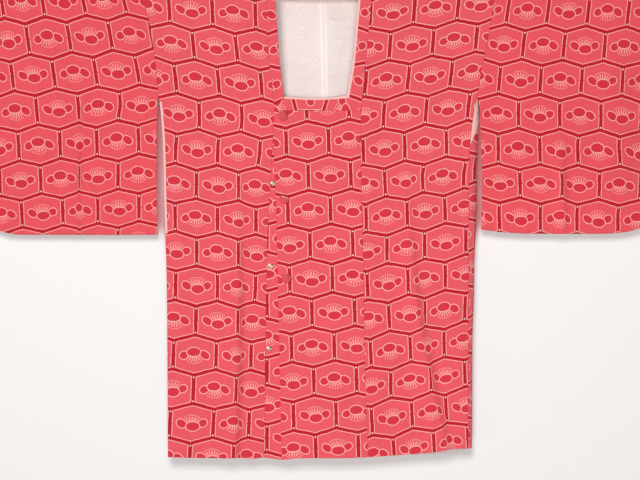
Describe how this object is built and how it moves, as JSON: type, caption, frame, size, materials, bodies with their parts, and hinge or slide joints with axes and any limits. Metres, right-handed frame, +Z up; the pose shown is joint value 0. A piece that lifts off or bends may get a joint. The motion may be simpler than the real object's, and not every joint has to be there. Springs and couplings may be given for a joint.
{
  "type": "michiyuki coat on a hanging rod",
  "caption": "Red michiyuki coat in hexagon-patterned silk, square neck, front bands lapped left over right, sleeves spread on a plain wooden rod with a wire hook.",
  "frame": {"origin": "inside top of the wire hook, where it rests on a nail, peg or rail", "axes": "+X towards the wearer's left, along the rod; +Y towards the back of the coat; +Z up"},
  "size_m": [1.4, 0.0465, 1.0117],
  "materials": {
    "printed_silk": "matt red silk with a woven and printed hexagon pattern",
    "lining_silk": "soft white figured silk",
    "covered_button": "button covered in the coat's silk",
    "snap_metal": "bright plated",
    "rod_wood": "plain sanded wood",
    "hook_steel": "plain steel wire"
  },
  "bodies": {
    "root": {"body_right": "printed_silk", "body_left": "printed_silk", "band_right": "printed_silk", "band_left": "printed_silk", "collar": "printed_silk", "gore_right": "printed_silk", "gore_left": "printed_silk", "sleeve_right": "printed_silk", "sleeve_left": "printed_silk", "lining_right": "lining_silk", "lining_left": "lining_silk", "button_1": "covered_button", "button_2": "covered_button", "button_3": "covered_button", "snap_1": "snap_metal", "snap_2": "snap_metal", "snap_3": "snap_metal", "rod": "rod_wood", "hook": "hook_steel"}
  },
  "joints": []
}
